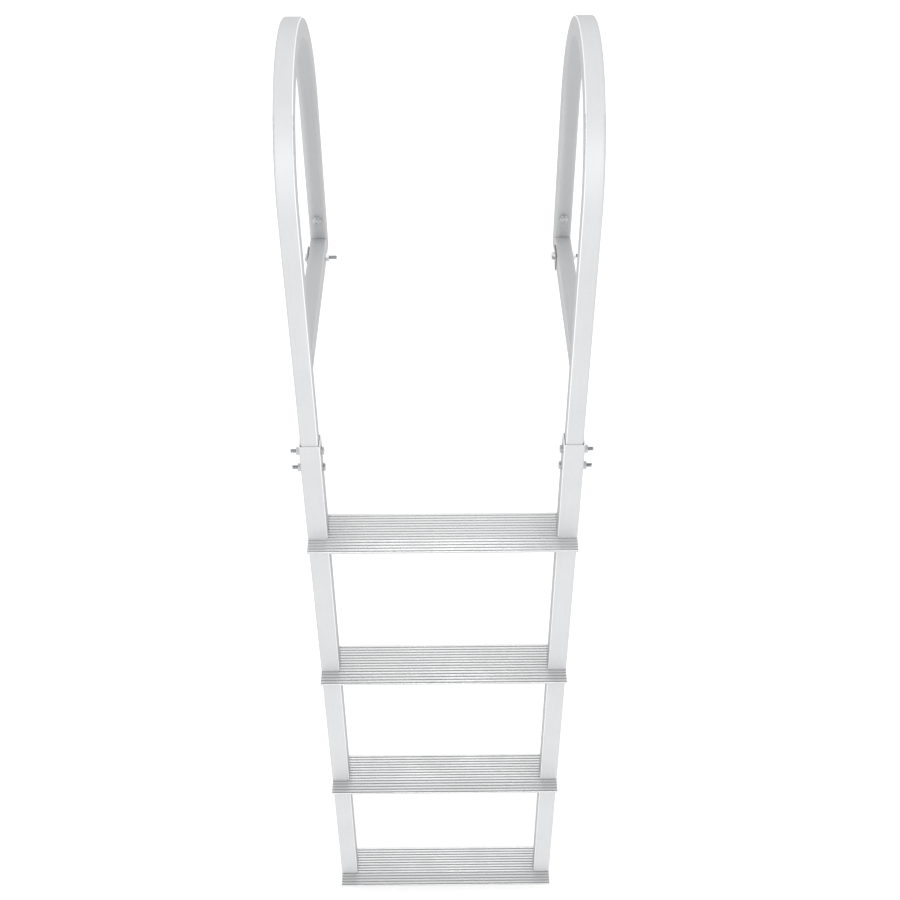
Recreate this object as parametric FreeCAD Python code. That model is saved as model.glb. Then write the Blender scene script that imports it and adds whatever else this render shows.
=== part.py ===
# Four-step aluminium dock ladder with two hoop handrails and two bars that lie on the deck.
# Units are millimetres. +X is the right-hand side seen from the water, +Y points over the deck
# and +Z is up. The origin lies on the underside of the left deck bar, midway between its legs.

import FreeCAD
import Part
import math
import os

from FreeCAD import Vector

# Steps and overall places
step_spacing = 305.0
step_count = 4
deck_above_tread = 299.0
rail_rise_above_tread = 180.0
rail_spacing = 378.0

# Square tube of the hoops and the deck bars
tube_size = 25.4
tube_wall = 2.0
tube_corner = 3.0
arch_radius = 164.5
spring_above_deck = 244.0
hoop_insertion = 75.0

# Square tube of the two side rails, which the hoops telescope into
rail_wall = 1.8
rail_corner = 3.0
telescope_clearance = 0.8
rail_size = tube_size + 2.0 * (telescope_clearance + rail_wall)

# Insert inside each rear corner and the plate beside it
insert_clearance = 0.3
insert_past_bolt = 16.0
insert_lead_in = 0.8
plate_thickness = 2.0
plate_height = 24.6
plate_length = 34.0
plate_behind_bolt = 12.0

# Ribbed treads
tread_behind_rail_front = 55.25
tread_band_depth = 26.5
tread_end_inset = 0.5
tread_height = 30.0
tread_plate = 4.0
tread_edge_radius = 0.6
band_droop_deg = 5.0
groove_count = 14
groove_pitch = 5.75
groove_depth = 1.4
groove_top_width = 2.6
groove_floor_width = 1.5
first_groove_from_back = 5.0
web_thickness = 2.5
web_inset_front = 2.0
web_inset_back = 1.5
toe_length = 8.0

# Quarter-inch bolts and nuts
bolt_diameter = 6.35
bolt_hole_clearance = 0.35
bolt_tip_chamfer = 0.6
head_height = 4.2
head_chamfer_deg = 30.0
hex_across_flats = 11.1
nut_height = 5.6
nut_bore_clearance = 0.05
long_bolt_length = 44.45
short_bolt_length = 38.1
upper_bolt_below_seam = 18.0
lower_bolt_below_seam = 49.0
corner_bolt_offset = 34.0

# How far a cutting shape runs past the surface that it cuts
cut_overrun = 1.0

# Places worked out from the sizes above
left_x = 0.0
right_x = rail_spacing
half_tube = tube_size / 2.0
half_rail = rail_size / 2.0
front_leg_y = -arch_radius
rear_leg_y = arch_radius
rail_front_y = front_leg_y - half_rail
bar_front_y = front_leg_y + half_tube
leg_face_y = rear_leg_y - half_tube
corner_back_y = rear_leg_y + half_tube
bar_centre_z = half_tube
bar_top_z = tube_size
top_step_z = -deck_above_tread
rail_top_z = top_step_z + rail_rise_above_tread
bottom_step_z = top_step_z - step_spacing * (step_count - 1)
rail_bottom_z = bottom_step_z - tread_height
cross_bolt_y = leg_face_y - corner_bolt_offset
through_bolt_z = bar_top_z + corner_bolt_offset
bolt_hole_radius = bolt_diameter / 2.0 + bolt_hole_clearance
tube_bore = tube_size - 2.0 * tube_wall
insert_size = tube_bore - 2.0 * insert_clearance
groove_half_top = groove_top_width / 2.0
groove_half_floor = groove_floor_width / 2.0

X_AXIS = Vector(1, 0, 0)
Y_AXIS = Vector(0, 1, 0)
Z_AXIS = Vector(0, 0, 1)


def rounded_square(size, corner):
    """A flat square face with rounded corners, centred on the origin in the XY plane."""
    half = size / 2.0
    inner = half - corner
    mid = inner + corner * math.cos(math.radians(45.0))
    edges = []
    for quarter in range(4):
        turn = FreeCAD.Rotation(Z_AXIS, 90.0 * quarter)
        side_start = turn.multVec(Vector(half, -inner, 0))
        side_end = turn.multVec(Vector(half, inner, 0))
        arc_mid = turn.multVec(Vector(mid, mid, 0))
        arc_end = turn.multVec(Vector(inner, half, 0))
        edges.append(Part.LineSegment(side_start, side_end).toShape())
        edges.append(Part.Arc(side_end, arc_mid, arc_end).toShape())
    return Part.Face(Part.Wire(edges))


def square_bar(size, corner, length):
    """A solid square bar standing on the XY plane."""
    return rounded_square(size, corner).extrude(Vector(0, 0, length))


def square_tube(size, wall, corner, length):
    """An open square tube standing on the XY plane."""
    outside = square_bar(size, corner, length)
    return outside.cut(square_bar(size - 2.0 * wall, corner - wall, length))


def lay_along_y(shape):
    """Lays a shape that stands along Z so that it runs along +Y from its foot."""
    return shape.rotated(Vector(0, 0, 0), X_AXIS, -90.0)


def prism_yz(points, x_start, x_length):
    """A prism along X from a closed outline of (y, z) points."""
    corners = [Vector(x_start, y, z) for y, z in points]
    corners.append(corners[0])
    return Part.Face(Part.makePolygon(corners)).extrude(Vector(x_length, 0, 0))


def drill(shape, centre, direction):
    """Cuts one bolt hole right through a shape, centred on a point."""
    reach = 2.0 * rail_size
    start = centre - direction * (reach / 2.0)
    return shape.cut(Part.makeCylinder(bolt_hole_radius, reach, start, direction))


def seam_bolt_point(x, below_seam):
    return Vector(x, front_leg_y, rail_top_z - below_seam)


def cross_bolt_point(x):
    return Vector(x, cross_bolt_y, bar_centre_z)


def through_bolt_point(x):
    return Vector(x, rear_leg_y, through_bolt_z)


def mitre_waste(x, above):
    """The wedge on one side of the 45 degree plane through the rear corner."""
    near_y = leg_face_y - cut_overrun
    far_y = corner_back_y + cut_overrun
    low_z = -cut_overrun
    high_z = bar_top_z + cut_overrun
    inner = (near_y, high_z)
    outer = (far_y, low_z)
    third = (far_y, high_z)
    if not above:
        third = (near_y, low_z)
    return prism_yz([inner, outer, third], x - tube_size, 2.0 * tube_size)


def make_rail(x):
    """One side rail: an open tube, drilled twice for the bolts that hold the hoop in it."""
    rail = square_tube(rail_size, rail_wall, rail_corner, rail_top_z - rail_bottom_z)
    rail.translate(Vector(x, front_leg_y, rail_bottom_z))
    for below_seam in (upper_bolt_below_seam, lower_bolt_below_seam):
        rail = drill(rail, seam_bolt_point(x, below_seam), X_AXIS)
    return rail


def hoop_path(size, corner, over):
    """A solid along the hoop's path: front leg, half-circle arch and rear leg."""
    front = rounded_square(size, corner)
    rear = front.translated(Vector(0, 2.0 * arch_radius, 0))
    front_length = spring_above_deck - rail_top_z + hoop_insertion + over
    arch = front.revolve(Vector(0, arch_radius, 0), -X_AXIS, 180.0)
    front_leg = front.extrude(Vector(0, 0, -front_length))
    rear_leg = rear.extrude(Vector(0, 0, -(spring_above_deck + over)))
    return front_leg.fuse([arch, rear_leg]).removeSplitter()


def make_hoop(x):
    """One handrail, bent from a single length of square tube and mitred at its rear foot."""
    hoop = hoop_path(tube_size, tube_corner, 0.0)
    hoop = hoop.cut(hoop_path(tube_bore, tube_corner - tube_wall, cut_overrun))
    hoop.translate(Vector(x, front_leg_y, spring_above_deck))
    hoop = hoop.cut(mitre_waste(x, False))
    for below_seam in (upper_bolt_below_seam, lower_bolt_below_seam):
        hoop = drill(hoop, seam_bolt_point(x, below_seam), X_AXIS)
    return drill(hoop, through_bolt_point(x), Y_AXIS)


def make_deck_bar(x):
    """The bar that lies on the deck, square at the front leg and mitred under the rear leg."""
    length = corner_back_y - bar_front_y
    bar = lay_along_y(square_tube(tube_size, tube_wall, tube_corner, length))
    bar.translate(Vector(x, bar_front_y, bar_centre_z))
    bar = bar.cut(mitre_waste(x, True))
    return drill(bar, cross_bolt_point(x), X_AXIS)


def insert_arm(length):
    """One arm of the corner insert, standing on the XY plane with a lead-in at its free end."""
    arm = square_bar(insert_size, tube_corner - tube_wall, length)
    free_edges = [edge for edge in arm.Edges if edge.BoundBox.ZMin > length / 2.0]
    return arm.makeChamfer(insert_lead_in, free_edges)


def make_corner_insert(x):
    """The hidden L that fills the corner of leg and bar and takes both corner bolts."""
    half = insert_size / 2.0
    foot_z = bar_centre_z - half
    heel_y = rear_leg_y + half
    upright = insert_arm(through_bolt_z + insert_past_bolt - foot_z)
    upright.translate(Vector(x, rear_leg_y, foot_z))
    reach = heel_y - (cross_bolt_y - insert_past_bolt)
    forward = insert_arm(reach).rotated(Vector(0, 0, 0), X_AXIS, 90.0)
    forward.translate(Vector(x, heel_y, bar_centre_z))
    insert = upright.fuse(forward).removeSplitter()
    insert = drill(insert, cross_bolt_point(x), X_AXIS)
    return drill(insert, through_bolt_point(x), Y_AXIS)


def make_corner_plate(x):
    """The thin plate clamped under the cross bolt's head on the bar's -X side."""
    plate_back_y = cross_bolt_y + plate_behind_bolt
    plate = Part.makeBox(plate_thickness, plate_length, plate_height)
    plate.translate(Vector(x - half_tube - plate_thickness, plate_back_y - plate_length,
                           bar_centre_z - plate_height / 2.0))
    return drill(plate, cross_bolt_point(x), X_AXIS)


def plate_top(y):
    """Height of the tread's upper surface at a depth y behind the rails' front face."""
    return min(0.0, y * math.tan(math.radians(band_droop_deg)))


def tread_section():
    """The extrusion's outline in y and z: ribbed plate, drooping band, two webs, two toes."""
    back = tread_behind_rail_front
    front = -tread_band_depth
    foot = -tread_height
    rear_web = back - web_inset_back
    front_web = web_inset_front
    points = [(rear_web, -tread_plate), (back, -tread_plate), (back, 0.0)]
    for number in range(groove_count):
        centre = back - first_groove_from_back - number * groove_pitch
        points.append((centre + groove_half_top, plate_top(centre + groove_half_top)))
        points.append((centre + groove_half_floor, plate_top(centre) - groove_depth))
        points.append((centre - groove_half_floor, plate_top(centre) - groove_depth))
        points.append((centre - groove_half_top, plate_top(centre - groove_half_top)))
    points.append((front, plate_top(front)))
    points.append((front, plate_top(front) - tread_plate))
    points.append((0.0, -tread_plate))
    points.append((front_web, -tread_plate))
    points.append((front_web, foot))
    points.append((front_web + toe_length, foot))
    points.append((front_web + toe_length, foot + web_thickness))
    points.append((front_web + web_thickness, foot + web_thickness))
    points.append((front_web + web_thickness, -tread_plate))
    points.append((rear_web - web_thickness, -tread_plate))
    points.append((rear_web - web_thickness, foot + web_thickness))
    points.append((rear_web - toe_length, foot + web_thickness))
    points.append((rear_web - toe_length, foot))
    points.append((rear_web, foot))
    return points


def soften_ends(tread):
    """Rounds the long edges at the front and the back of the tread's plate."""
    front = -tread_band_depth
    back = tread_behind_rail_front
    places = ((front, plate_top(front)), (front, plate_top(front) - tread_plate), (back, 0.0))
    edges = []
    for edge in tread.Edges:
        middle = edge.CenterOfMass
        for y, z in places:
            if math.hypot(middle.y - y, middle.z - z) < tread_edge_radius / 2.0:
                edges.append(edge)
    return tread.makeFillet(tread_edge_radius, edges)


def make_tread(number):
    """One ribbed extrusion with a notch at each end, so that it closes round both rails."""
    start_x = left_x - half_rail + tread_end_inset
    width = rail_spacing + rail_size - 2.0 * tread_end_inset
    tread = soften_ends(prism_yz(tread_section(), start_x, width))
    notch_height = tread_height + 2.0 * cut_overrun
    for x in (left_x, right_x):
        notch = Part.makeBox(rail_size, rail_size, notch_height)
        notch.translate(Vector(x - half_rail, 0, -tread_height - cut_overrun))
        tread = tread.cut(notch)
    tread.translate(Vector(0, rail_front_y, top_step_z - number * step_spacing))
    return tread


def chamfered_hexagon(height):
    """A hexagon standing on the XY plane with the corners of its top turned down."""
    corner_radius = hex_across_flats / math.sqrt(3.0)
    flat_radius = hex_across_flats / 2.0
    corners = []
    for number in range(7):
        angle = math.radians(60.0 * number)
        corners.append(Vector(corner_radius * math.cos(angle), corner_radius * math.sin(angle), 0))
    prism = Part.Face(Part.makePolygon(corners)).extrude(Vector(0, 0, height))
    foot_radius = flat_radius + height / math.tan(math.radians(head_chamfer_deg))
    return prism.common(Part.makeCone(foot_radius, flat_radius, height))


def place_along(shape, point, direction):
    """Turns a shape made along +Z so that it points along a direction from a point."""
    placed = shape.copy()
    placed.Placement = FreeCAD.Placement(point, FreeCAD.Rotation(Z_AXIS, direction))
    return placed


def make_bolt(seat, direction, length):
    """A bolt whose head bears on the seat point and whose shank runs along the direction."""
    radius = bolt_diameter / 2.0
    shank = Part.makeCylinder(radius, length - bolt_tip_chamfer)
    tip_start = Vector(0, 0, length - bolt_tip_chamfer)
    tip = Part.makeCone(radius, radius - bolt_tip_chamfer, bolt_tip_chamfer, tip_start)
    head = chamfered_hexagon(head_height).mirror(Vector(0, 0, 0), Z_AXIS)
    return place_along(head.fuse([shank, tip]).removeSplitter(), seat, direction)


def make_nut(seat, direction):
    """A hexagon nut whose inner face bears on the seat point."""
    bore = Part.makeCylinder(bolt_diameter / 2.0 + nut_bore_clearance, nut_height)
    return place_along(chamfered_hexagon(nut_height).cut(bore), seat, direction)


def save(name, shape):
    print(name, "solids", len(shape.Solids), "valid", shape.isValid(), "volume", round(shape.Volume, 1))
    shape.exportStep("parts/" + name + ".step")


def save_fastener(kind, suffix, head_seat, nut_seat, direction, length):
    """Writes one bolt and its nut."""
    save(kind + "_bolt_" + suffix, make_bolt(head_seat, direction, length))
    save(kind + "_nut_" + suffix, make_nut(nut_seat, direction))


def main():
    os.makedirs("parts", exist_ok=True)
    for number in range(step_count):
        save("tread_" + str(number + 1), make_tread(number))
    seam_levels = (("upper", upper_bolt_below_seam), ("lower", lower_bolt_below_seam))
    for side, x, outward in (("left", left_x, -X_AXIS), ("right", right_x, X_AXIS)):
        save("rail_" + side, make_rail(x))
        save("hoop_" + side, make_hoop(x))
        save("deck_bar_" + side, make_deck_bar(x))
        save("corner_insert_" + side, make_corner_insert(x))
        save("corner_plate_" + side, make_corner_plate(x))
        for level, below_seam in seam_levels:
            centre = seam_bolt_point(x, below_seam)
            save_fastener("seam", level + "_" + side, centre - outward * half_rail,
                          centre + outward * half_rail, outward, long_bolt_length)
        centre = cross_bolt_point(x)
        save_fastener("cross", side, centre - X_AXIS * (half_tube + plate_thickness),
                      centre + X_AXIS * half_tube, X_AXIS, long_bolt_length)
        centre = through_bolt_point(x)
        save_fastener("through", side, centre + Y_AXIS * half_tube,
                      centre - Y_AXIS * half_tube, -Y_AXIS, short_bolt_length)


main()
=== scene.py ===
# %% [markdown]
# # A dock ladder in satin aluminium
#
# The real object hangs from the edge of a dock. Four ribbed treads sit between two square rails, a
# bent handrail slides into the top of each rail, and a bar under each handrail lies on the deck.
# The solids come ready made, at their real size. This lesson gives them their finishes, makes the
# threads and welds that the solids leave plain, and lights the result.

import math

import bmesh
import bpy
from mathutils import Euler, Matrix, Vector


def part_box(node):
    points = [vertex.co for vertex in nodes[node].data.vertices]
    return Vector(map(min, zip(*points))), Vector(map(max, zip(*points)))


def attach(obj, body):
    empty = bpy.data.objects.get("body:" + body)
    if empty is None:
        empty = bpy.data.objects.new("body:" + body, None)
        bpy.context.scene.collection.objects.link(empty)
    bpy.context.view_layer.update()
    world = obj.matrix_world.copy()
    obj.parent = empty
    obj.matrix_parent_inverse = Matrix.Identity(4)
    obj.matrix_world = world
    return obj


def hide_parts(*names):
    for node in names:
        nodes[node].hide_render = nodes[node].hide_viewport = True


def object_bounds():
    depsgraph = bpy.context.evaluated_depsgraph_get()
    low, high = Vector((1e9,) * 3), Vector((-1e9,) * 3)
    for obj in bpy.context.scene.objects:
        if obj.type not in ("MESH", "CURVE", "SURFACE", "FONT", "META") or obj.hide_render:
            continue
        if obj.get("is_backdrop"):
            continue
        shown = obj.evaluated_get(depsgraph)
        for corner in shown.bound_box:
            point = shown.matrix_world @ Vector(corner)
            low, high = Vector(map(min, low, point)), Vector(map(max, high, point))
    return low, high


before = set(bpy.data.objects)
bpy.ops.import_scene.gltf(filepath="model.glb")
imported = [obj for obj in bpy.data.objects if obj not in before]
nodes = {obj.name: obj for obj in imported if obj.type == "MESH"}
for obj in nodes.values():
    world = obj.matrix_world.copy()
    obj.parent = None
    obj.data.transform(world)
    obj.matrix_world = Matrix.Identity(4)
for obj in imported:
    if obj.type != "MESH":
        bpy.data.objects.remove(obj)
cad_low, cad_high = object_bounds()
print("pieces loaded:", len(nodes))
print("overall size in metres:", [round(high - low, 4) for low, high in zip(cad_low, cad_high)])

# %% Names used all through the lesson
MM = 0.001
SIDES = ("left", "right")
scene = bpy.context.scene


def size_of(node):
    """The lowest corner, the highest corner and the middle of one solid."""
    low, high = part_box(node)
    low, high = Vector(low), Vector(high)
    return low, high, (low + high) / 2.0


for side in SIDES:
    low, high, middle = size_of("rail_" + side)
    print(side, "rail:", round(high.z - low.z, 3), "m long, centred at x =", round(middle.x, 4))

# %% [markdown]
# ## The camera
#
# The picture was taken from in front and from well above the handrails, so the sides draw together
# towards the foot. A camera has a place, a direction and a lens. The lens is given here as the angle
# that it takes in, and the direction as three turns: down, sideways and a slight lean.

# %% Place the camera
CAMERA_PLACE = (0.190797, -1.568687, 1.044625)
CAMERA_DOWN_DEG = 40.098
CAMERA_TURN_RIGHT_DEG = 0.3954
CAMERA_LEAN_DEG = -0.1748
CAMERA_VIEW_ANGLE_DEG = 38.911

camera_data = bpy.data.cameras.new("photo_camera")
camera_data.sensor_fit = "HORIZONTAL"
camera_data.angle = math.radians(CAMERA_VIEW_ANGLE_DEG)
camera_data.dof.use_dof = False
camera_data.clip_start = 0.05
camera_data.clip_end = 50.0
camera = bpy.data.objects.new("photo_camera", camera_data)
scene.collection.objects.link(camera)
aim = Euler((math.radians(90.0 - CAMERA_DOWN_DEG), 0.0, -math.radians(CAMERA_TURN_RIGHT_DEG)))
lean = Matrix.Rotation(math.radians(CAMERA_LEAN_DEG), 4, "Z")
camera.matrix_world = Matrix.Translation(CAMERA_PLACE) @ aim.to_matrix().to_4x4() @ lean
scene.camera = camera
print("camera stands", round(-CAMERA_PLACE[1], 2), "m in front and", CAMERA_PLACE[2], "m above the deck")

# %% [markdown]
# ## Where a point lies on its tube
#
# Extruded tube looks the same all along its length and changes only across it. A finish that knows
# where a point lies across the tube can follow the tube, round the bend too. The handrail's bend is
# a half circle about a level line, so the distance from that line tells one side of the tube from
# the other, and above the legs the same sum gives plain depth. That makes one small recipe serve
# rails and handrails. The bars lie flat, so theirs is simpler.

# %% Helpers for node trees
def new_group(name, inputs, outputs):
    """An empty shader node group with named sockets."""
    group = bpy.data.node_groups.new(name, "ShaderNodeTree")
    for label, kind, value in inputs:
        socket = group.interface.new_socket(name=label, in_out="INPUT", socket_type=kind)
        if value is not None:
            socket.default_value = value
    for label, kind in outputs:
        group.interface.new_socket(name=label, in_out="OUTPUT", socket_type=kind)
    return group, group.nodes.new("NodeGroupInput"), group.nodes.new("NodeGroupOutput")


def maths(tree, operation, *values):
    """A Math node; each value is a socket or a number."""
    node = tree.nodes.new("ShaderNodeMath")
    node.operation = operation
    for socket, value in zip(node.inputs, values):
        if isinstance(value, (int, float)):
            socket.default_value = value
        else:
            tree.links.new(value, socket)
    return node.outputs[0]


def limited(tree, value):
    """Keeps a value between 0 and 1."""
    return maths(tree, "MINIMUM", maths(tree, "MAXIMUM", value, 0.0), 1.0)


def split(tree, vector):
    """The three parts of a vector."""
    node = tree.nodes.new("ShaderNodeSeparateXYZ")
    tree.links.new(vector, node.inputs[0])
    return node.outputs["X"], node.outputs["Y"], node.outputs["Z"]


def join(tree, *values):
    """One vector from three values."""
    node = tree.nodes.new("ShaderNodeCombineXYZ")
    for socket, value in zip(node.inputs, values):
        if isinstance(value, (int, float)):
            socket.default_value = value
        else:
            tree.links.new(value, socket)
    return node.outputs[0]


def use_group(tree, group, **values):
    """Places a node group in a tree; an underscore in a name stands for a space."""
    node = tree.nodes.new("ShaderNodeGroup")
    node.node_tree = group
    for label, value in values.items():
        socket = node.inputs[label.replace("_", " ")]
        if isinstance(value, bpy.types.NodeSocket):
            tree.links.new(value, socket)
        else:
            socket.default_value = value
    return node


# %% Measure the tubes
left_middle = size_of("rail_left")[2].x
right_middle = size_of("rail_right")[2].x
between = (left_middle + right_middle) / 2.0
half_spacing = (right_middle - left_middle) / 2.0
hoop_low, hoop_high, hoop_middle = size_of("hoop_left")
half_tube = (hoop_high.x - hoop_low.x) / 2.0
half_rail = (size_of("rail_left")[1].x - size_of("rail_left")[0].x) / 2.0
rail_top = size_of("rail_left")[1].z
bend_radius = (hoop_high.y - hoop_low.y) / 2.0 - half_tube
bend_height = hoop_high.z - bend_radius - half_tube
print("handrail bend: radius", round(bend_radius, 4), "m about a line", round(bend_height, 4), "m up")

# %% Recipe: place across an upright or bent tube
SECTION_OUTPUTS = [("Across", "NodeSocketFloat"), ("Depth", "NodeSocketFloat"), ("Along", "NodeSocketFloat")]


def across_pair(tree, x):
    """Distance from the middle of the nearer of the two sides."""
    return maths(tree, "SUBTRACT", maths(tree, "ABSOLUTE", maths(tree, "SUBTRACT", x, between)), half_spacing)


def make_upright_section():
    group, enter, leave = new_group("upright_tube_section", [("Vector", "NodeSocketVector", None)],
                                    SECTION_OUTPUTS)
    x, y, z = split(group, enter.outputs["Vector"])
    rise = maths(group, "MAXIMUM", maths(group, "SUBTRACT", z, bend_height), 0.0)
    squares = maths(group, "ADD", maths(group, "MULTIPLY", y, y), maths(group, "MULTIPLY", rise, rise))
    depth = maths(group, "SUBTRACT", maths(group, "SQRT", squares), bend_radius)
    group.links.new(across_pair(group, x), leave.inputs["Across"])
    group.links.new(depth, leave.inputs["Depth"])
    group.links.new(z, leave.inputs["Along"])
    return group


def make_level_section():
    group, enter, leave = new_group("level_tube_section", [("Vector", "NodeSocketVector", None)],
                                    SECTION_OUTPUTS)
    x, y, z = split(group, enter.outputs["Vector"])
    group.links.new(across_pair(group, x), leave.inputs["Across"])
    group.links.new(maths(group, "SUBTRACT", z, half_tube), leave.inputs["Depth"])
    group.links.new(y, leave.inputs["Along"])
    return group


UPRIGHT_SECTION = make_upright_section()
LEVEL_SECTION = make_level_section()
print("tube recipes:", UPRIGHT_SECTION.name, "and", LEVEL_SECTION.name)

# %% [markdown]
# ## Effects that several finishes share
#
# The die leaves fine lines along everything that it extrudes. The bath that makes the metal satin
# leaves a faint cloudiness. A painted highlight runs along the front corner that faces the space
# between the two sides. Each effect is one node group that gives out a height, a mask or a roughness.
# The shader stays in the material.

# %% Recipe: noise that follows a piece
def noise(tree, vector, scale, detail, roughness):
    """A noise texture read at a vector."""
    node = tree.nodes.new("ShaderNodeTexNoise")
    node.inputs["Scale"].default_value = scale
    node.inputs["Detail"].default_value = detail
    node.inputs["Roughness"].default_value = roughness
    tree.links.new(vector, node.inputs["Vector"])
    return node.outputs["Fac"]


# %% Recipe: die lines
ALONG_SLOWLY = 0.012


def make_die_lines():
    """Fine lines along a piece, as a height, from its two places across and its place along."""
    group, enter, leave = new_group(
        "die_lines",
        [("Across", "NodeSocketFloat", 0.0), ("Depth", "NodeSocketFloat", 0.0),
         ("Along", "NodeSocketFloat", 0.0)],
        [("Height", "NodeSocketFloat")])
    slow = maths(group, "MULTIPLY", enter.outputs["Along"], ALONG_SLOWLY)
    place = join(group, enter.outputs["Across"], enter.outputs["Depth"], slow)
    coarse = maths(group, "MULTIPLY", noise(group, place, 700.0, 2.0, 0.6), 0.6)
    fine = maths(group, "MULTIPLY", noise(group, place, 2400.0, 1.0, 0.5), 0.4)
    group.links.new(maths(group, "ADD", coarse, fine), leave.inputs["Height"])
    return group


# %% Recipe: cloudiness
def make_cloudiness():
    """A mask that drifts from place to place, and a roughness that drifts with it."""
    group, enter, leave = new_group(
        "cloudiness",
        [("Vector", "NodeSocketVector", None), ("Middle", "NodeSocketFloat", 0.4),
         ("Spread", "NodeSocketFloat", 0.1), ("Fineness", "NodeSocketFloat", 1.0)],
        [("Roughness", "NodeSocketFloat"), ("Mask", "NodeSocketFloat")])
    x, y, z = split(group, enter.outputs["Vector"])
    fine = enter.outputs["Fineness"]
    place = join(group, maths(group, "MULTIPLY", x, fine), maths(group, "MULTIPLY", y, fine),
                 maths(group, "MULTIPLY", z, fine))
    broad = maths(group, "MULTIPLY", noise(group, place, 14.0, 3.0, 0.55), 0.6)
    small = maths(group, "MULTIPLY", noise(group, place, 260.0, 2.0, 0.5), 0.4)
    even = maths(group, "ADD", broad, small)
    steep = maths(group, "MULTIPLY", maths(group, "SUBTRACT", even, 0.5), 2.5)
    mask = limited(group, maths(group, "ADD", steep, 0.5))
    drift = maths(group, "MULTIPLY", maths(group, "SUBTRACT", mask, 0.5), enter.outputs["Spread"])
    group.links.new(maths(group, "ADD", enter.outputs["Middle"], drift), leave.inputs["Roughness"])
    group.links.new(mask, leave.inputs["Mask"])
    return group


# %% Recipe: painted highlight on the front corners
TUBE_CORNER = 3.0 * MM
SKIN_STARTS = 0.6


def make_rubbed_corners():
    """A mask for a painted highlight, 1 on the middle of the tube's front corner, on the side that faces the
    other rail.
    """
    group, enter, leave = new_group(
        "painted_corner_highlight",
        [("Across", "NodeSocketFloat", 0.0), ("Depth", "NodeSocketFloat", 0.0),
         ("Half Size", "NodeSocketFloat", half_tube), ("Corner", "NodeSocketFloat", TUBE_CORNER),
         ("Start Slope", "NodeSocketFloat", 0.35), ("Blend", "NodeSocketFloat", 0.40)],
        [("Mask", "NodeSocketFloat")])
    flat = maths(group, "SUBTRACT", enter.outputs["Half Size"], enter.outputs["Corner"])
    inward = maths(group, "MULTIPLY", enter.outputs["Across"], -1.0)
    first = maths(group, "MAXIMUM", maths(group, "SUBTRACT", inward, flat), 0.0)
    second = maths(group, "MAXIMUM", maths(group, "SUBTRACT", enter.outputs["Depth"], flat), 0.0)
    longer = maths(group, "MAXIMUM", first, second)
    slope = maths(group, "DIVIDE", maths(group, "MINIMUM", first, second), longer)
    past = maths(group, "DIVIDE", maths(group, "SUBTRACT", slope, enter.outputs["Start Slope"]),
                 enter.outputs["Blend"])
    squares = maths(group, "ADD", maths(group, "MULTIPLY", first, first),
                    maths(group, "MULTIPLY", second, second))
    on_skin = maths(group, "GREATER_THAN", maths(group, "SQRT", squares),
                    maths(group, "MULTIPLY", enter.outputs["Corner"], SKIN_STARTS))
    group.links.new(maths(group, "MULTIPLY", limited(group, past), on_skin), leave.inputs["Mask"])
    return group


# %% Recipe: the bare cut end of a tube, lightened further as painted light
def make_cut_end():
    """A mask that is 1 from a tube's cut top end down to a small depth: bare metal, lightened further as
    painted light over the shade in the gap at the seam.
    """
    group, enter, leave = new_group(
        "bare_end_and_painted_light",
        [("Along", "NodeSocketFloat", 0.0), ("End", "NodeSocketFloat", rail_top),
         ("Depth", "NodeSocketFloat", 0.3 * MM), ("Blend", "NodeSocketFloat", 0.3 * MM)],
        [("Mask", "NodeSocketFloat")])
    above = maths(group, "SUBTRACT", enter.outputs["Along"],
                  maths(group, "SUBTRACT", enter.outputs["End"], enter.outputs["Depth"]))
    group.links.new(limited(group, maths(group, "DIVIDE", above, enter.outputs["Blend"])),
                    leave.inputs["Mask"])
    return group


# %% Recipe: the fine line where two tubes are mitred
MITRE_PLACE = hoop_high.y
MITRE_FROM = hoop_high.y - 2.0 * half_tube


def make_mitre_line():
    """A mask that is 1 on the slanting line between a handrail's foot and its bar."""
    group, enter, leave = new_group(
        "mitre_line",
        [("Vector", "NodeSocketVector", None), ("Half Width", "NodeSocketFloat", 0.4 * MM),
         ("Blend", "NodeSocketFloat", 0.2 * MM)],
        [("Mask", "NodeSocketFloat")])
    x, y, z = split(group, enter.outputs["Vector"])
    off = maths(group, "ABSOLUTE", maths(group, "SUBTRACT", maths(group, "ADD", y, z), MITRE_PLACE))
    near = maths(group, "DIVIDE", maths(group, "SUBTRACT", enter.outputs["Half Width"], off),
                 enter.outputs["Blend"])
    behind = maths(group, "GREATER_THAN", y, MITRE_FROM - 1.0 * MM)
    low = maths(group, "LESS_THAN", z, 2.0 * half_tube + 1.0 * MM)
    on_corner = maths(group, "MULTIPLY", behind, low)
    group.links.new(maths(group, "MULTIPLY", limited(group, near), on_corner), leave.inputs["Mask"])
    return group


# %% Recipe: the direction in which a bent tube's skin faces
LEAST_AGREEMENT = 0.7


def vector_maths(tree, operation, first, second=None):
    """A Vector Math node on one or two sockets."""
    node = tree.nodes.new("ShaderNodeVectorMath")
    node.operation = operation
    tree.links.new(first, node.inputs[0])
    if second is not None:
        tree.links.new(second, node.inputs[1])
    return node.outputs["Value" if operation == "DOT_PRODUCT" else "Vector"]


def past_flat(tree, distance, flat):
    """How far a point lies past the flat part of a side, with the sign of its distance."""
    past = maths(tree, "MAXIMUM", maths(tree, "SUBTRACT", maths(tree, "ABSOLUTE", distance), flat), 0.0)
    return maths(tree, "MULTIPLY", past, maths(tree, "SIGN", distance))


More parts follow.
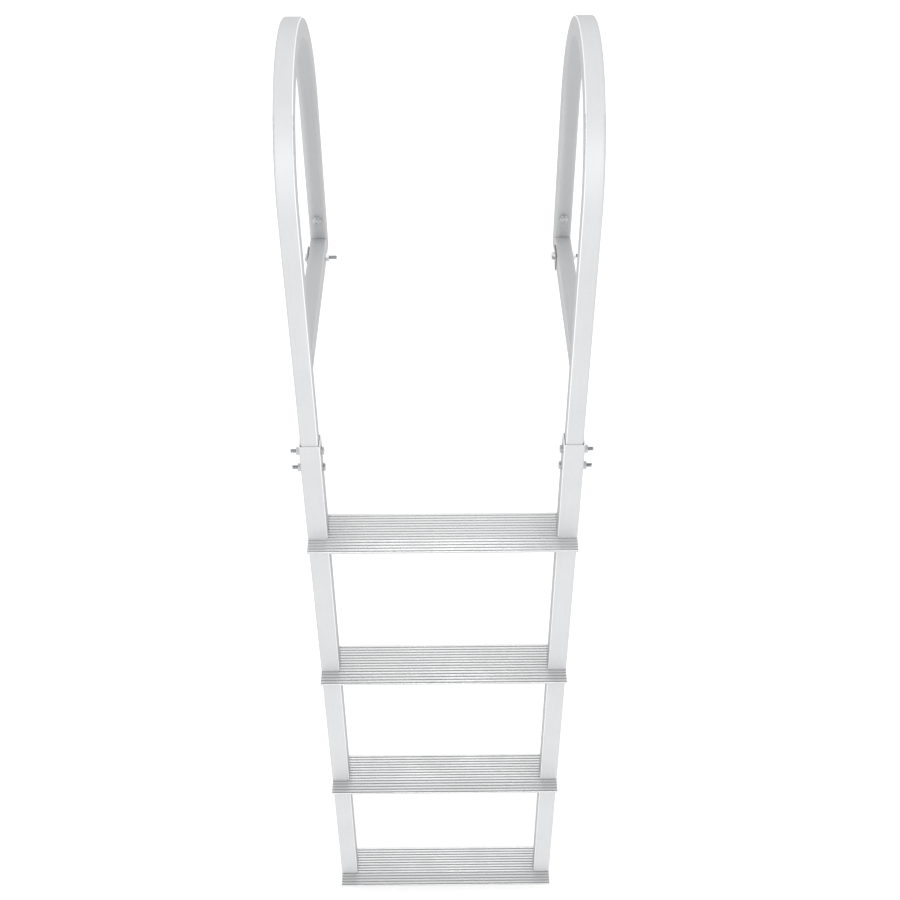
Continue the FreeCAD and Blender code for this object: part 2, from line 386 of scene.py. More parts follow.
def make_bent_skin():
    """The normal of a bent square tube by its own rule, wherever the mesh faces nearly that way."""
    group, enter, leave = new_group(
        "bent_tube_skin",
        [("Vector", "NodeSocketVector", None), ("Across", "NodeSocketFloat", 0.0),
         ("Depth", "NodeSocketFloat", 0.0), ("Half Size", "NodeSocketFloat", half_tube),
         ("Corner", "NodeSocketFloat", TUBE_CORNER), ("Mesh Normal", "NodeSocketVector", None)],
        [("Normal", "NodeSocketVector")])
    x, y, z = split(group, enter.outputs["Vector"])
    flat = maths(group, "SUBTRACT", enter.outputs["Half Size"], enter.outputs["Corner"])
    side = maths(group, "SIGN", maths(group, "SUBTRACT", x, between))
    sideways = maths(group, "MULTIPLY", past_flat(group, enter.outputs["Across"], flat), side)
    outward = past_flat(group, enter.outputs["Depth"], flat)
    from_axis = maths(group, "ADD", enter.outputs["Depth"], bend_radius)
    rise = maths(group, "MAXIMUM", maths(group, "SUBTRACT", z, bend_height), 0.0)
    back = maths(group, "MULTIPLY", outward, maths(group, "DIVIDE", y, from_axis))
    up = maths(group, "MULTIPLY", outward, maths(group, "DIVIDE", rise, from_axis))
    normal = vector_maths(group, "NORMALIZE", join(group, sideways, back, up))
    agreement = vector_maths(group, "DOT_PRODUCT", normal, enter.outputs["Mesh Normal"])
    choice = group.nodes.new("ShaderNodeMix")
    choice.data_type = "VECTOR"
    first, second = [item for item in choice.inputs if item.type == "VECTOR" and "Factor" not in item.name]
    group.links.new(maths(group, "GREATER_THAN", agreement, LEAST_AGREEMENT), choice.inputs[0])
    group.links.new(enter.outputs["Mesh Normal"], first)
    group.links.new(normal, second)
    group.links.new([item for item in choice.outputs if item.type == "VECTOR"][0], leave.inputs["Normal"])
    return group


# %% Build the shared effects
DIE_LINES = make_die_lines()
CLOUDINESS = make_cloudiness()
PAINTED_CORNER_HIGHLIGHT = make_rubbed_corners()
BARE_END_AND_PAINTED_LIGHT = make_cut_end()
MITRE_LINE = make_mitre_line()
BENT_SKIN = make_bent_skin()
print("shared effects:", DIE_LINES.name, CLOUDINESS.name, PAINTED_CORNER_HIGHLIGHT.name, BARE_END_AND_PAINTED_LIGHT.name,
      MITRE_LINE.name, BENT_SKIN.name)

# %% [markdown]
# ## Satin aluminium for the tubes
#
# Rails, handrails and deck bars are square tube with a satin bath: pale, soft and nearly without
# shine, with one painted highlight line down the front corner and painted light on the rails' bare
# cut ends. The colour drifts by a few hundredths, because a perfectly even colour looks like plastic.
# The lines are far finer than a millimetre, so they work as bump, while the tube's corners and the
# bend are real shape.

# %% Helpers for materials
def new_material(name, metallic):
    """A material with its shader, its own coordinates and a plain metallic value."""
    material = bpy.data.materials.new(name)
    material.use_nodes = True
    tree = material.node_tree
    shader = tree.nodes["Principled BSDF"]
    shader.inputs["Metallic"].default_value = metallic
    return material, tree, shader, tree.nodes.new("ShaderNodeTexCoord").outputs["Object"]


def mix_colours(tree, mask, low, high):
    """A colour between two, by a mask; each colour is a triple or a socket."""
    node = tree.nodes.new("ShaderNodeMix")
    node.data_type = "RGBA"
    first, second = [item for item in node.inputs if item.type == "RGBA"]
    tree.links.new(mask, node.inputs[0])
    for socket, colour in ((first, low), (second, high)):
        if isinstance(colour, bpy.types.NodeSocket):
            tree.links.new(colour, socket)
        else:
            socket.default_value = (*colour, 1.0)
    return [item for item in node.outputs if item.type == "RGBA"][0]


def add_bump(tree, shader, height, strength, distance, normal=None):
    """Turns a height into a bump on the shader, over the mesh's own normal or another."""
    bump = tree.nodes.new("ShaderNodeBump")
    if normal is not None:
        tree.links.new(normal, bump.inputs["Normal"])
    bump.inputs["Strength"].default_value = strength
    bump.inputs["Distance"].default_value = distance
    tree.links.new(height, bump.inputs["Height"])
    tree.links.new(bump.outputs["Normal"], shader.inputs["Normal"])


def tinted(colour, factor):
    """The same colour, lighter or darker."""
    return tuple(min(1.0, channel * factor) for channel in colour)


# %% Build the satin finish
SATIN = (0.480, 0.485, 0.492)


def make_satin(name, section, half_size, corner_highlight, bare_end_painted_light=False, bent=False):
    """Satin aluminium that follows a tube, with a painted highlight on its front corner whose strength the
    fourth argument sets, and painted light on a cut end if asked.
    """
    material, tree, shader, place = new_material(name, 0.20)
    tube = use_group(tree, section, Vector=place)
    clouds = use_group(tree, CLOUDINESS, Vector=place, Middle=0.60, Spread=0.14)
    corners = use_group(tree, PAINTED_CORNER_HIGHLIGHT, Across=tube.outputs["Across"], Depth=tube.outputs["Depth"],
                        Half_Size=half_size)
    lines = use_group(tree, DIE_LINES, Across=tube.outputs["Across"], Depth=tube.outputs["Depth"],
                      Along=tube.outputs["Along"])
    mitre = use_group(tree, MITRE_LINE, Vector=place)
    streaks = maths(tree, "MULTIPLY", maths(tree, "SUBTRACT", lines.outputs["Height"], 0.5), 1.6)
    pale = limited(tree, maths(tree, "ADD", clouds.outputs["Mask"], streaks))
    body = mix_colours(tree, pale, tinted(SATIN, 0.96), tinted(SATIN, 1.04))
    # painted highlight: the front corner's colour is lightened toward white, with a lower roughness
    painted_highlight = maths(tree, "MULTIPLY", corners.outputs["Mask"], corner_highlight)
    colour = mix_colours(tree, painted_highlight, body, tinted(SATIN, 1.60))
    # painted light: the bare cut end is lightened well past the satin, which also lifts the shade in the gap
    # at the seam
    if bare_end_painted_light:
        bare_end_light_mask = use_group(tree, BARE_END_AND_PAINTED_LIGHT, Along=tube.outputs["Along"])
        colour = mix_colours(tree, bare_end_light_mask.outputs["Mask"], colour, tinted(SATIN, 1.60))
    colour = mix_colours(tree, mitre.outputs["Mask"], colour, tinted(SATIN, 0.45))
    tree.links.new(colour, shader.inputs["Base Color"])
    smoothed = maths(tree, "MULTIPLY", painted_highlight, 0.25)
    tree.links.new(maths(tree, "SUBTRACT", clouds.outputs["Roughness"], smoothed), shader.inputs["Roughness"])
    normal = None
    if bent:
        mesh_normal = tree.nodes.new("ShaderNodeNewGeometry").outputs["Normal"]
        skin = use_group(tree, BENT_SKIN, Vector=place, Across=tube.outputs["Across"],
                         Depth=tube.outputs["Depth"], Mesh_Normal=mesh_normal)
        normal = skin.outputs["Normal"]
    add_bump(tree, shader, lines.outputs["Height"], 0.50, 0.05 * MM, normal)
    return material


# each tube gets a painted highlight on its front corner, weaker on the deck bars
satin_rail = make_satin("satin_aluminium_rail", UPRIGHT_SECTION, half_rail, 1.0, bare_end_painted_light=True)
satin_handrail = make_satin("satin_aluminium_handrail", UPRIGHT_SECTION, half_tube, 1.0, bent=True)
satin_deck_bar = make_satin("satin_aluminium_deck_bar", LEVEL_SECTION, half_tube, 0.3)
print("tube finishes:", satin_rail.name, satin_handrail.name, satin_deck_bar.name)

# %% [markdown]
# ## Ribbed aluminium for the treads
#
# The grooves that keep a wet foot from slipping are real shape in the solids. The finish makes the
# grooves, except faces turned downward, darker and rougher than the ribs, so it needs to know which
# is which. The grooves repeat at one spacing from the back edge, and a sum with that spacing gives a
# mask. It is the same rule that cut them, so the mask stays on them from every side.

# %% Recipe: which points lie in a groove
GROOVE_SPACING = 5.75 * MM
FIRST_GROOVE_FROM_BACK = 5.0 * MM
GROOVE_COUNT = 14
tread_back = size_of("tread_1")[1].y


def make_groove_mask():
    """A mask that is 1 in the treads' grooves, by distance from their back edge."""
    group, enter, leave = new_group(
        "groove_mask",
        [("Vector", "NodeSocketVector", None), ("Back Edge", "NodeSocketFloat", tread_back),
         ("First", "NodeSocketFloat", FIRST_GROOVE_FROM_BACK), ("Spacing", "NodeSocketFloat", GROOVE_SPACING),
         ("Count", "NodeSocketFloat", float(GROOVE_COUNT)), ("Half Width", "NodeSocketFloat", 1.3 * MM),
         ("Blend", "NodeSocketFloat", 0.35 * MM)],
        [("Mask", "NodeSocketFloat")])
    y = split(group, enter.outputs["Vector"])[1]
    from_first = maths(group, "SUBTRACT", maths(group, "SUBTRACT", enter.outputs["Back Edge"], y),
                       enter.outputs["First"])
    number = maths(group, "DIVIDE", from_first, enter.outputs["Spacing"])
    nearest = maths(group, "ROUND", number)
    kept = maths(group, "MINIMUM", maths(group, "MAXIMUM", nearest, 0.0),
                 maths(group, "SUBTRACT", enter.outputs["Count"], 1.0))
    off = maths(group, "MULTIPLY", maths(group, "ABSOLUTE", maths(group, "SUBTRACT", number, kept)),
                enter.outputs["Spacing"])
    inside = maths(group, "DIVIDE", maths(group, "SUBTRACT", enter.outputs["Half Width"], off),
                   enter.outputs["Blend"])
    group.links.new(limited(group, inside), leave.inputs["Mask"])
    return group


GROOVE_MASK = make_groove_mask()

# %% Build the tread finish
RIB = (0.535, 0.537, 0.541)
GROOVE = (0.405, 0.408, 0.414)


def make_tread_finish():
    """Lighter ribs and darker, rougher grooves, with die lines along the tread."""
    material, tree, shader, place = new_material("ribbed_tread_aluminium", 0.60)
    x, y, z = split(tree, place)
    clouds = use_group(tree, CLOUDINESS, Vector=place, Middle=0.34, Spread=0.14)
    grooves = use_group(tree, GROOVE_MASK, Vector=place)
    facing = split(tree, tree.nodes.new("ShaderNodeNewGeometry").outputs["Normal"])[2]
    upward = limited(tree, maths(tree, "MULTIPLY", maths(tree, "ADD", facing, 0.35), 4.0))
    darker_rougher_groove_mask = maths(tree, "MULTIPLY", grooves.outputs["Mask"], upward)
    lines = use_group(tree, DIE_LINES, Across=y, Depth=z, Along=x)
    body = mix_colours(tree, clouds.outputs["Mask"], tinted(RIB, 0.96), tinted(RIB, 1.04))
    tree.links.new(mix_colours(tree, darker_rougher_groove_mask, body, GROOVE), shader.inputs["Base Color"])
    roughened = maths(tree, "MULTIPLY", darker_rougher_groove_mask, 0.25)
    tree.links.new(maths(tree, "ADD", clouds.outputs["Roughness"], roughened), shader.inputs["Roughness"])
    add_bump(tree, shader, lines.outputs["Height"], 0.20, 0.03 * MM)
    return material


tread_finish = make_tread_finish()
print("tread finish:", tread_finish.name)

# %% [markdown]
# ## Stainless steel and weld metal
#
# The fasteners are plain stainless steel, darker and glossier than the tubes, with fine turning
# marks; the cross and through nuts get a lighter copy of it as a painted highlight. Weld metal is the
# tubes' own aluminium, melted and frozen in small waves: greyer, rougher and patchier. Both use the
# same shared effects with other values.

# %% Build the small finishes
def make_small_finish(name, colour, metallic, middle, spread, patchiness, mark_height):
    """A finish for fasteners and welds, with marks that follow the piece's length."""
    material, tree, shader, place = new_material(name, metallic)
    x, y, z = split(tree, place)
    clouds = use_group(tree, CLOUDINESS, Vector=place, Middle=middle, Spread=spread, Fineness=3.0)
    marks = use_group(tree, DIE_LINES, Across=x, Depth=y, Along=z)
    body = mix_colours(tree, clouds.outputs["Mask"], tinted(colour, 1.0 - patchiness),
                       tinted(colour, 1.0 + patchiness))
    tree.links.new(body, shader.inputs["Base Color"])
    tree.links.new(clouds.outputs["Roughness"], shader.inputs["Roughness"])
    add_bump(tree, shader, marks.outputs["Height"], 0.25, mark_height)
    return material


stainless = make_small_finish("stainless_steel", (0.49, 0.494, 0.503), 1.0, 0.26, 0.20, 0.24, 0.03 * MM)
weld_metal = make_small_finish("weld_aluminium", (0.41, 0.414, 0.42), 0.6, 0.46, 0.20, 0.12, 0.03 * MM)
# painted highlight: a lighter copy of the stainless steel for the cross and through nuts, standing in for
# their bright reflections and for the light that the front leg's shadow keeps off them
nut_painted_highlight = make_small_finish("nut_painted_highlight_steel", (0.66, 0.665, 0.675), 0.9, 0.30, 0.20, 0.20, 0.03 * MM)
plate_finish = make_small_finish("corner_plate_steel", (0.36, 0.364, 0.372), 1.0, 0.22, 0.12, 0.30, 0.03 * MM)
print("small finishes:", stainless.name, nut_painted_highlight.name, weld_metal.name, plate_finish.name)

# %% [markdown]
# ## Dress the solids
#
# Every solid already carries a slot for its material. Putting a better material in that slot changes
# the look and leaves the shape alone, which is what a part at its real size needs.

# %% Put each finish on its pieces
FINISHES = (("rail", satin_rail), ("hoop", satin_handrail), ("deck_bar", satin_deck_bar),
            ("corner_insert", satin_deck_bar), ("corner_plate", plate_finish), ("tread", tread_finish),
            ("seam_nut", stainless), ("cross_nut", nut_painted_highlight), ("through_nut", nut_painted_highlight))


def finish_for(node):
    """The finish of a solid, by the start of its name; the rest are fasteners."""
    for start, material in FINISHES:
        if node.startswith(start):
            return material
    return stainless


for node, piece in nodes.items():
    if not piece.material_slots:
        piece.data.materials.append(finish_for(node))
    for slot in piece.material_slots:
        slot.material = finish_for(node)
print("dressed", len(nodes), "solids")

# %% [markdown]
# ## Threads
#
# A thread climbs by one pitch in each turn. That is a rule, so Geometry Nodes can make it: a flat
# grid is wrapped into a tube, its rows are slanted so that they climb with the thread, and each row
# stands out or in by its place between two crests. The first and last rows shrink to a point, which
# closes the ends. One tree makes both lengths of bolt, because its sizes are inputs.

# %% Helpers for geometry trees
def new_tree(name, inputs):
    """An empty Geometry Nodes tree with named inputs and one geometry output."""
    tree = bpy.data.node_groups.new(name, "GeometryNodeTree")
    tree.interface.new_socket(name="Geometry", in_out="INPUT", socket_type="NodeSocketGeometry")
    tree.interface.new_socket(name="Geometry", in_out="OUTPUT", socket_type="NodeSocketGeometry")
    for label, kind, value in inputs:
        socket = tree.interface.new_socket(name=label, in_out="INPUT", socket_type=kind)
        if value is not None:
            socket.default_value = value
    return tree, tree.nodes.new("NodeGroupInput"), tree.nodes.new("NodeGroupOutput")


def wrapped_grid(tree, rows, columns):
    """A grid with its row and column numbers, to be moved point by point."""
    grid = tree.nodes.new("GeometryNodeMeshGrid")
    grid.inputs["Size X"].default_value = 1.0
    grid.inputs["Size Y"].default_value = 1.0
    grid.inputs["Vertices X"].default_value = columns + 1
    tree.links.new(rows, grid.inputs["Vertices Y"])
    x, y, _ = split(tree, tree.nodes.new("GeometryNodeInputPosition").outputs[0])
    turn = maths(tree, "ADD", x, 0.5)
    last = maths(tree, "SUBTRACT", rows, 1.0)
    row = maths(tree, "MULTIPLY", maths(tree, "ADD", y, 0.5), last)
    return grid.outputs["Mesh"], turn, row, last


def close_tree(tree, leave, mesh, place, material):
    """Moves the grid's points, joins what meets, and ends the tree."""
    move = tree.nodes.new("GeometryNodeSetPosition")
    tree.links.new(mesh, move.inputs["Geometry"])
    tree.links.new(place, move.inputs["Position"])
    merge = tree.nodes.new("GeometryNodeMergeByDistance")
    merge.inputs["Distance"].default_value = 0.004 * MM
    tree.links.new(move.outputs[0], merge.inputs["Geometry"])
    real = tree.nodes.new("GeometryNodeRealizeInstances")
    tree.links.new(merge.outputs[0], real.inputs[0])
    colour = tree.nodes.new("GeometryNodeSetMaterial")
    colour.inputs["Material"].default_value = material
    tree.links.new(real.outputs[0], colour.inputs["Geometry"])
    tree.links.new(colour.outputs[0], leave.inputs["Geometry"])


def run_tree(tree, name, values):
    """Runs a tree with its own sizes and gives back a plain mesh."""
    holder = bpy.data.objects.new(name + "_holder", bpy.data.meshes.new(name + "_holder"))
    scene.collection.objects.link(holder)
    modifier = holder.modifiers.new("shape", "NODES")
    modifier.node_group = tree
    for item in tree.interface.items_tree:
        if item.item_type == "SOCKET" and item.in_out == "INPUT" and item.name in values:
            modifier[item.identifier] = values[item.name]
    bpy.context.view_layer.update()
    depsgraph = bpy.context.evaluated_depsgraph_get()
    mesh = bpy.data.meshes.new_from_object(holder.evaluated_get(depsgraph))
    holder.modifiers.remove(modifier)
    bpy.data.objects.remove(holder)
    return mesh


# %% Build the thread's tree
THREAD_PITCH = 25.4 / 20.0 * MM
THREAD_RADIUS = 6.35 / 2.0 * MM
THREAD_DEPTH = 0.613 * THREAD_PITCH
THREAD_LENGTH = 19.05 * MM
ROWS_PER_TURN = 6
THREAD_COLUMNS = 24


def build_thread_tree():
    """A shank whose end carries a thread, from Start to Start + Length along +Z."""
    tree, enter, leave = new_tree("bolt_thread", [
        ("Start", "NodeSocketFloat", 0.0), ("Length", "NodeSocketFloat", THREAD_LENGTH),
        ("Pitch", "NodeSocketFloat", THREAD_PITCH), ("Radius", "NodeSocketFloat", THREAD_RADIUS),
        ("Depth", "NodeSocketFloat", THREAD_DEPTH), ("Rows", "NodeSocketInt", 100)])
    length, pitch, depth = enter.outputs["Length"], enter.outputs["Pitch"], enter.outputs["Depth"]
    mesh, turn, row, last = wrapped_grid(tree, enter.outputs["Rows"], THREAD_COLUMNS)
    climbed = maths(tree, "SUBTRACT", maths(tree, "DIVIDE", row, float(ROWS_PER_TURN)), 1.0)
    free = maths(tree, "MULTIPLY", maths(tree, "ADD", climbed, turn), pitch)
    height = maths(tree, "MINIMUM", maths(tree, "MAXIMUM", free, 0.0), length)
    phase = maths(tree, "SUBTRACT", maths(tree, "DIVIDE", height, pitch), turn)
    groove = maths(tree, "MULTIPLY", maths(tree, "PINGPONG", phase, 0.5), 2.0)
    run_in = limited(tree, maths(tree, "DIVIDE", height, pitch))
    to_tip = maths(tree, "DIVIDE", maths(tree, "SUBTRACT", length, height), pitch)
    blunt = maths(tree, "SUBTRACT", 1.0, limited(tree, to_tip))
    sunk = maths(tree, "MAXIMUM", maths(tree, "MULTIPLY", groove, run_in), blunt)
    radius = maths(tree, "SUBTRACT", enter.outputs["Radius"], maths(tree, "MULTIPLY", sunk, depth))
    inner_row = maths(tree, "MULTIPLY", maths(tree, "GREATER_THAN", row, 0.5),
                      maths(tree, "LESS_THAN", row, maths(tree, "SUBTRACT", last, 0.5)))
    shown = maths(tree, "MULTIPLY", radius, inner_row)
    angle = maths(tree, "MULTIPLY", turn, 2.0 * math.pi)
    place = join(tree, maths(tree, "MULTIPLY", shown, maths(tree, "COSINE", angle)),
                 maths(tree, "MULTIPLY", shown, maths(tree, "SINE", angle)),
                 maths(tree, "ADD", height, enter.outputs["Start"]))
    close_tree(tree, leave, mesh, place, stainless)
    return tree


THREAD_TREE = build_thread_tree()
print("thread tree:", len(THREAD_TREE.nodes), "nodes, pitch", round(THREAD_PITCH / MM, 2), "mm")

# %% [markdown]
# The head is a hexagon whose outer corners are cut back by a cone. That cut leaves the round arcs
# which every bolt head shows. Rings of points round the axis give the shape directly: each point
# knows how far out the hexagon reaches there, and how far down the cone has cut it. Below the
# hexagon lies a thin round washer face.

# %% Build the hexagonal head
HEX_HALF_FLAT = 11.1 / 2.0 * MM
HEAD_HEIGHT = 4.2 * MM
CROWN_RADIUS = 0.94 * HEX_HALF_FLAT
WASHER_RADIUS = 0.96 * HEX_HALF_FLAT
WASHER_HEIGHT = 0.3 * MM
CONE_SLOPE = math.tan(math.radians(30.0))
HEAD_STEPS = 48


def hexagon_reach(angle):
    """How far the hexagon reaches from its axis in one direction, with a corner at angle 0."""
    sixth = math.pi / 3.0
    return HEX_HALF_FLAT / math.cos((angle % sixth) - sixth / 2.0)


def add_ring(mesh, reach, height):
    """A ring of points; reach gives a radius for an angle, and height a height for a radius."""
    ring = []
    for step in range(HEAD_STEPS):
        angle = 2.0 * math.pi * step / HEAD_STEPS
        radius = reach(angle)
        ring.append(mesh.verts.new((radius * math.cos(angle), radius * math.sin(angle), height(radius))))
    return ring


def skin(mesh, rings):
    """Closes a stack of rings into one skin."""
    for first, second in zip(rings, rings[1:]):
        for step in range(HEAD_STEPS):
            after = (step + 1) % HEAD_STEPS
            mesh.faces.new((first[step], first[after], second[after], second[step]))
    mesh.faces.new(rings[0])
    mesh.faces.new(rings[-1])


def add_head(mesh):
    """The head, from its seat at height 0 up to -HEAD_HEIGHT."""
    skin(mesh, [
        add_ring(mesh, lambda angle: WASHER_RADIUS, lambda radius: 0.0),
        add_ring(mesh, lambda angle: WASHER_RADIUS, lambda radius: -WASHER_HEIGHT),
        add_ring(mesh, hexagon_reach, lambda radius: -WASHER_HEIGHT),
        add_ring(mesh, hexagon_reach, lambda radius: (radius - CROWN_RADIUS) * CONE_SLOPE - HEAD_HEIGHT),
        add_ring(mesh, lambda angle: CROWN_RADIUS, lambda radius: -HEAD_HEIGHT)])


def add_shank(mesh, length):
    """The plain part of the shank, from the seat to the thread."""
    skin(mesh, [add_ring(mesh, lambda angle: THREAD_RADIUS, lambda radius: 0.0),
                add_ring(mesh, lambda angle: THREAD_RADIUS, lambda radius: length)])


# %% Put each bolt in its place
SMOOTH_BELOW_DEG = 32.0


def finish_mesh(mesh, name, material):
    """Turns loose geometry into an object that rides with the ladder."""
    bmesh.ops.remove_doubles(mesh, verts=mesh.verts, dist=0.001 * MM)
    bmesh.ops.recalc_face_normals(mesh, faces=mesh.faces)
    data = bpy.data.meshes.new(name)
    mesh.to_mesh(data)
    mesh.free()
    data.materials.clear()
    data.materials.append(material)
    for polygon in data.polygons:
        polygon.material_index = 0
    data.shade_smooth()
    data.set_sharp_from_angle(angle=math.radians(SMOOTH_BELOW_DEG))
    piece = bpy.data.objects.new(name, data)
    scene.collection.objects.link(piece)
    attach(piece, "root")
    return piece


def make_bolt(node, towards, corner):
    """A threaded bolt in the place of a plain one; towards is the way that its tip points."""
    low, high, seat = size_of(node)
    axis = [abs(part) for part in towards].index(1)
    tip, outer = (high[axis], low[axis]) if towards[axis] > 0 else (low[axis], high[axis])
    seat[axis] = outer + towards[axis] * HEAD_HEIGHT
    plain = abs(tip - seat[axis]) - THREAD_LENGTH
    rows = round((THREAD_LENGTH / THREAD_PITCH + 1.0) * ROWS_PER_TURN) + 3
    thread = run_tree(THREAD_TREE, node, {"Start": plain, "Rows": rows})
    mesh = bmesh.new()
    add_head(mesh)
    add_shank(mesh, plain)
    mesh.from_mesh(thread)
    along, across = Vector(towards), Vector(corner)
    turned = Matrix((across, along.cross(across), along)).transposed().to_4x4()
    mesh.transform(Matrix.Translation(seat) @ turned)
    piece = finish_mesh(mesh, node + "_threaded", stainless)
    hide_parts(node)
    return piece


UP, RIGHT = (0, 0, 1), (1, 0, 0)
OUTWARD = {"left": (-1, 0, 0), "right": (1, 0, 0)}
bolts = []
for side in SIDES:
    for level in ("upper", "lower"):
        bolts.append(make_bolt("seam_bolt_" + level + "_" + side, OUTWARD[side], UP))
    bolts.append(make_bolt("cross_bolt_" + side, RIGHT, UP))
    bolts.append(make_bolt("through_bolt_" + side, (0, -1, 0), RIGHT))
print("threaded bolts:", len(bolts), "with", sum(len(bolt.data.polygons) for bolt in bolts), "faces")

# %% [markdown]
# ## Welds
#
# Nothing in the picture shows what holds each tread to its rails, and its upper faces are clean. On
# ladders like this one the weld is underneath, where no foot meets it, so that is where the beads
# go here, with one on top of each deck bar behind the front leg. A bead is a line of small frozen
# waves, which is again a rule: a wrapped grid whose radius rises and falls with each wave.

# %% Build the bead's tree
BEAD_RADIUS = 2.2 * MM
WAVE_SPACING = 1.7 * MM
WAVE_HEIGHT = 0.28 * MM
ROWS_PER_WAVE = 6
BEAD_COLUMNS = 14


def build_bead_tree():
    """A weld bead along +X, closed and tapered at both ends."""
    tree, enter, leave = new_tree("weld_bead", [
        ("Length", "NodeSocketFloat", 0.02), ("Radius", "NodeSocketFloat", BEAD_RADIUS),
        ("Wave Spacing", "NodeSocketFloat", WAVE_SPACING), ("Wave Height", "NodeSocketFloat", WAVE_HEIGHT),
        ("Rows", "NodeSocketInt", 80)])
    length, radius = enter.outputs["Length"], enter.outputs["Radius"]
    mesh, turn, row, last = wrapped_grid(tree, enter.outputs["Rows"], BEAD_COLUMNS)
    along = maths(tree, "MULTIPLY", maths(tree, "DIVIDE", row, last), length)
    angle = maths(tree, "MULTIPLY", turn, 2.0 * math.pi)
    bow = maths(tree, "MULTIPLY", maths(tree, "COSINE", angle), 0.35)
    phase = maths(tree, "ADD", maths(tree, "DIVIDE", along, enter.outputs["Wave Spacing"]), bow)
    wave = maths(tree, "MULTIPLY", maths(tree, "ABSOLUTE", maths(tree, "SINE", maths(tree, "MULTIPLY",
                 phase, math.pi))), enter.outputs["Wave Height"])
    to_end = maths(tree, "MINIMUM", along, maths(tree, "SUBTRACT", length, along))
    near = limited(tree, maths(tree, "DIVIDE", to_end, radius))
    rounded = maths(tree, "SQRT", maths(tree, "MULTIPLY", near, maths(tree, "SUBTRACT", 2.0, near)))
    shown = maths(tree, "MULTIPLY", maths(tree, "ADD", maths(tree, "SUBTRACT", radius,
                  enter.outputs["Wave Height"]), wave), rounded)
    place = join(tree, along, maths(tree, "MULTIPLY", shown, maths(tree, "COSINE", angle)),
                 maths(tree, "MULTIPLY", shown, maths(tree, "SINE", angle)))
    close_tree(tree, leave, mesh, place, weld_metal)
    return tree


BEAD_TREE = build_bead_tree()
print("bead tree:", len(BEAD_TREE.nodes), "nodes")

# %% Lay the beads
TREAD_PLATE = 4.0 * MM
CLEAR_OF_WEB = 8.0 * MM
CORNER_INSET = 3.0 * MM


def add_bead(mesh, start, end):
    """One bead along a straight corner, half of it sunk into the metal on both sides."""
    start, end = Vector(start), Vector(end)
    run = end - start
    rows = round(run.length / WAVE_SPACING * ROWS_PER_WAVE) + 1
    bead = run_tree(BEAD_TREE, "bead", {"Length": run.length, "Rows": rows})
    bead.transform(Matrix.Translation(start) @ run.to_track_quat("X", "Z").to_matrix().to_4x4())
    mesh.from_mesh(bead)


beads = bmesh.new()
bead_count = 0
for side, inward in (("left", 1.0), ("right", -1.0)):
    rail_low, rail_high, rail_middle = size_of("rail_" + side)
    inner = rail_middle.x + inward * half_rail
    for number in range(1, 5):
        under = size_of("tread_" + str(number))[1].z - TREAD_PLATE
        add_bead(beads, (inner, rail_low.y + CLEAR_OF_WEB, under), (inner, rail_high.y, under))
        add_bead(beads, (rail_low.x + CORNER_INSET, rail_high.y, under),
                 (rail_high.x - CORNER_INSET, rail_high.y, under))
        bead_count += 2
    bar_low, bar_high, bar_middle = size_of("deck_bar_" + side)
    add_bead(beads, (bar_low.x + CORNER_INSET, bar_low.y, bar_high.z),
             (bar_high.x - CORNER_INSET, bar_low.y, bar_high.z))
    bead_count += 1
weld_beads = finish_mesh(beads, "weld_beads", weld_metal)
print("weld beads:", bead_count, "with", len(weld_beads.data.polygons), "faces")

# %% [markdown]
# ## Floor and light
#
# Satin metal shows what stands round it, so the light matters as much as the finish. Here an even
# white room gives the tubes their quiet look. One light from the front lies in the same upright
# plane as the handrails, so each loop shades its own inside and the faces there turn darker. A
# narrow light behind the ladder is mirrored by the treads, brightest in the middle of each.

# %% Lay the floor
FLOOR_SIZE = 24.0
FLOOR_GAP = 0.5 * MM

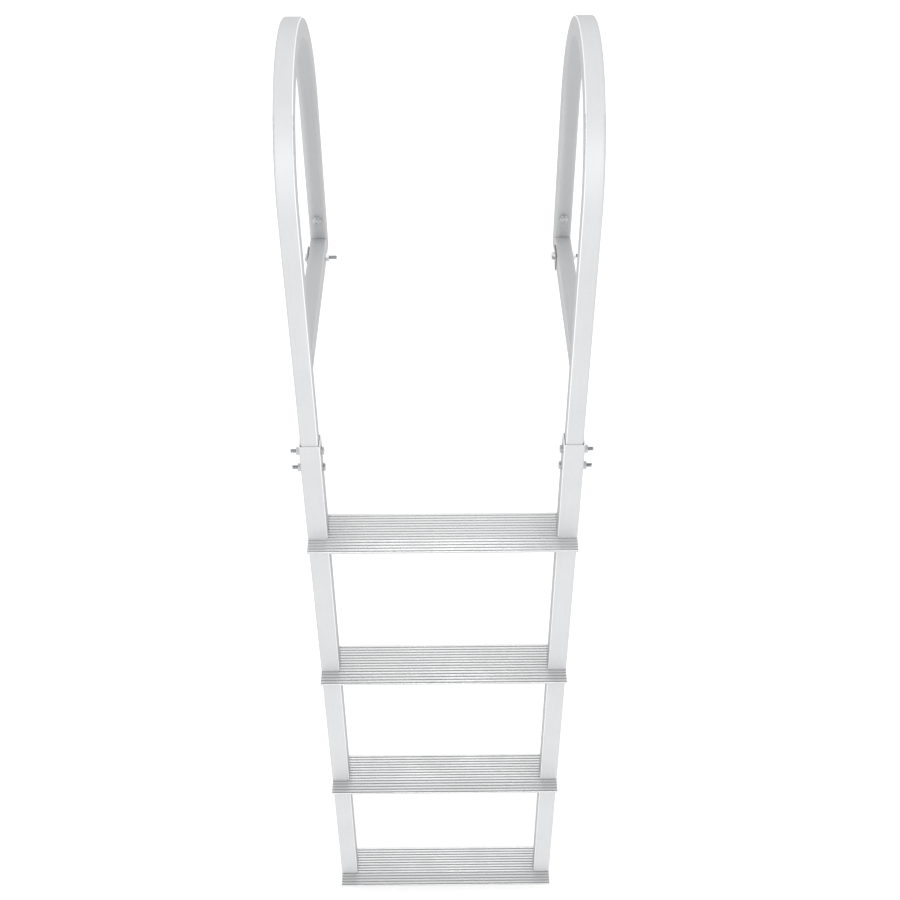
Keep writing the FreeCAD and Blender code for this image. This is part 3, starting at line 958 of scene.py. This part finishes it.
reach = FLOOR_SIZE / 2.0
level = cad_low[2] - FLOOR_GAP
floor_mesh = bpy.data.meshes.new("studio_floor")
floor_mesh.from_pydata([(-reach, -reach, level), (reach, -reach, level), (reach, reach, level),
                        (-reach, reach, level)], [], [(0, 1, 2, 3)])
floor = bpy.data.objects.new("studio_floor", floor_mesh)
scene.collection.objects.link(floor)
pale_floor, floor_tree, floor_shader, _ = new_material("pale_floor", 0.0)
floor_shader.inputs["Base Color"].default_value = (0.50, 0.50, 0.50, 1.0)
floor_shader.inputs["Roughness"].default_value = 0.9
floor_shader.inputs["Specular IOR Level"].default_value = 0.2
floor_shader.inputs["Emission Color"].default_value = (1.0, 1.0, 1.0, 1.0)
floor_shader.inputs["Emission Strength"].default_value = 0.55
floor_mesh.materials.append(pale_floor)
floor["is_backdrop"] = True
print("floor lies at", round(level, 4), "m")

# %% Set the lights
LADDER_TREADS = (between, -0.15, -0.75)


def add_light(name, kind, place, energy):
    """A light at a place, turned towards the treads."""
    data = bpy.data.lights.new(name, kind)
    data.energy = energy
    light = bpy.data.objects.new(name, data)
    light.location = place
    towards = Vector(LADDER_TREADS) - Vector(place)
    light.rotation_euler = towards.to_track_quat("-Z", "Y").to_euler()
    scene.collection.objects.link(light)
    return light


front_light = add_light("front_light", "SUN", (between - 0.02, -3.0, 0.3), 1.86)
front_light.data.angle = math.radians(3.0)
back_light = add_light("back_light", "AREA", (between, 3.6, 5.0), 32.0)
back_light.data.shape = "RECTANGLE"
back_light.data.size = 1.6
back_light.data.size_y = 2.0
top_light = add_light("top_light", "AREA", (between, 0.3, 3.2), 9.0)
top_light.data.size = 1.2

white_room = bpy.data.worlds.new("white_room")
white_room.use_nodes = True
room_light = white_room.node_tree.nodes["Background"]
room_light.inputs["Color"].default_value = (1.0, 1.0, 1.0, 1.0)
room_light.inputs["Strength"].default_value = 1.0
scene.world = white_room
scene.view_settings.view_transform = "Standard"

# %% [markdown]
# ## Compare the size
#
# The looks must not make the ladder bigger than its solids. Both boxes are compared, and how far the
# look reaches past the solids is printed.

# %% Compare both boxes
seen_low, seen_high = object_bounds()
grown = [round(max(seen_high[part] - cad_high[part], cad_low[part] - seen_low[part]), 5) for part in range(3)]
print("grown by, in metres:", grown)
